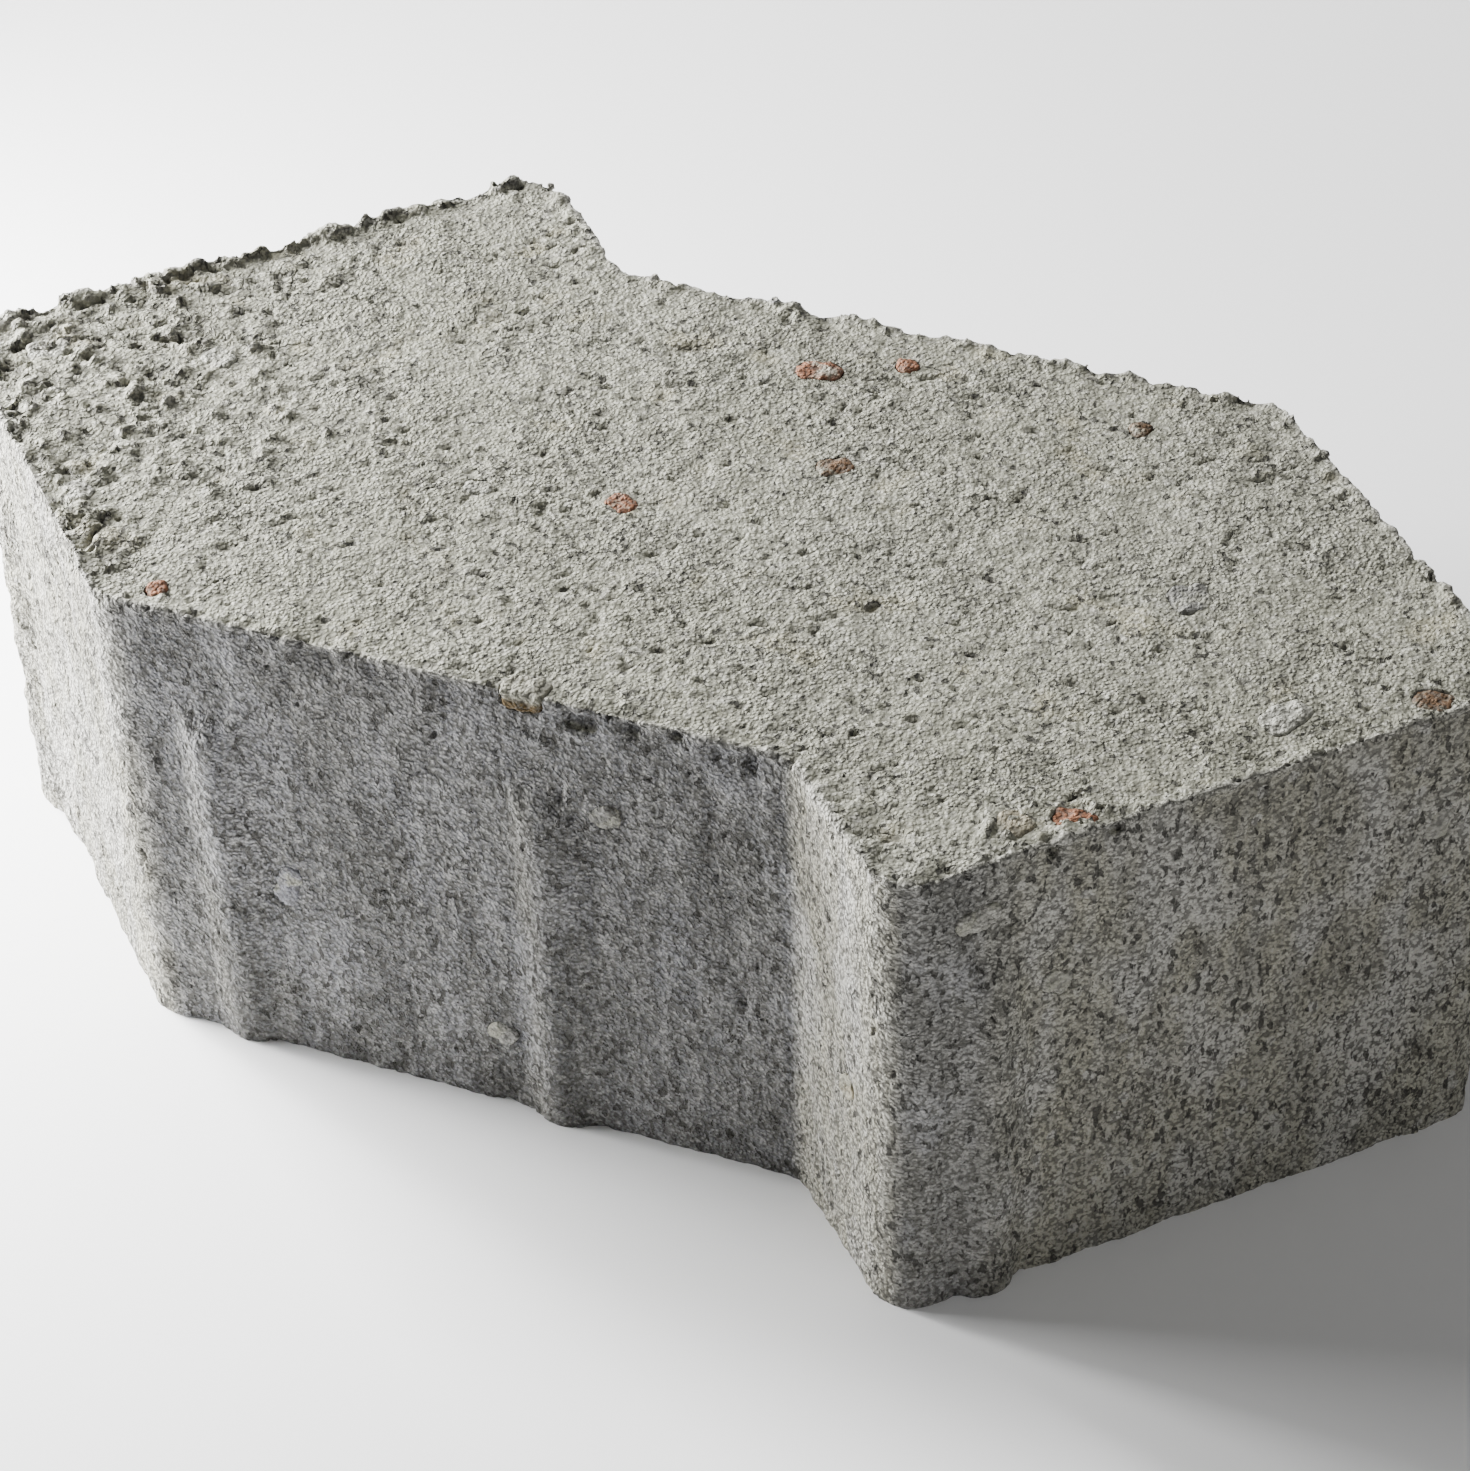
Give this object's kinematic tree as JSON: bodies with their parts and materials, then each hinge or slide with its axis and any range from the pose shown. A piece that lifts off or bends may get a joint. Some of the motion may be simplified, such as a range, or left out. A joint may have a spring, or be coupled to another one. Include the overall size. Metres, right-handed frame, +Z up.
{
  "type": "interlocking paving stone",
  "caption": "Z-shaped interlocking concrete paving stone with moulded spacer ribs on its walls and coarse gravel bare in its surface.",
  "frame": {"origin": "middle of the bedding face, on the half-turn axis of the plan", "axes": "+X along the two long parallel walls, +Y from the front long wall to the back long wall, +Z up to the wearing face"},
  "size_m": [0.2324, 0.1304, 0.08],
  "materials": {
    "concrete": "rough, sandy, matt",
    "brick_red": "matt fired clay",
    "rust_brown": "matt",
    "ochre_flint": "satin",
    "buff_gravel": "matt",
    "grey_gravel": "matt",
    "lilac_quartzite": "satin",
    "pale_quartz": "satin"
  },
  "bodies": {
    "root": {"brick_chip_back": "brick_red", "brick_chip_back_small": "brick_red", "brick_chip_back_wall": "brick_red", "brick_chip_left": "brick_red", "brick_chip_middle": "brick_red", "brick_chip_right_edge": "brick_red", "buff_gravel_right_end": "buff_gravel", "buff_pebble_back_notch": "buff_gravel", "buff_pebble_notch": "buff_gravel", "concrete_body": "concrete", "grey_pebble": "grey_gravel", "grey_pebble_front": "grey_gravel", "grey_pebble_left_end": "grey_gravel", "grey_pebble_right_arm": "grey_gravel", "lilac_pebble_front": "lilac_quartzite", "ochre_flint_front_edge": "ochre_flint", "ochre_pebble_right_arm": "ochre_flint", "pale_pebble_left_arm": "pale_quartz", "pale_pebble_left_corner": "pale_quartz", "pale_pebble_left_edge": "pale_quartz", "pale_pebble_left_wall": "pale_quartz", "pale_pebble_middle": "pale_quartz", "pale_pebble_right": "pale_quartz", "quartz_pebble_back": "pale_quartz", "quartz_pebble_left_end": "pale_quartz", "quartz_pebble_right_end_far": "pale_quartz", "quartz_pebble_right_end_high": "pale_quartz", "quartz_pebble_right_end_low": "pale_quartz", "rust_chip_back": "rust_brown", "rust_stone_middle": "rust_brown", "rust_stone_right_corner": "rust_brown", "white_stone_front": "pale_quartz"}
  },
  "joints": []
}
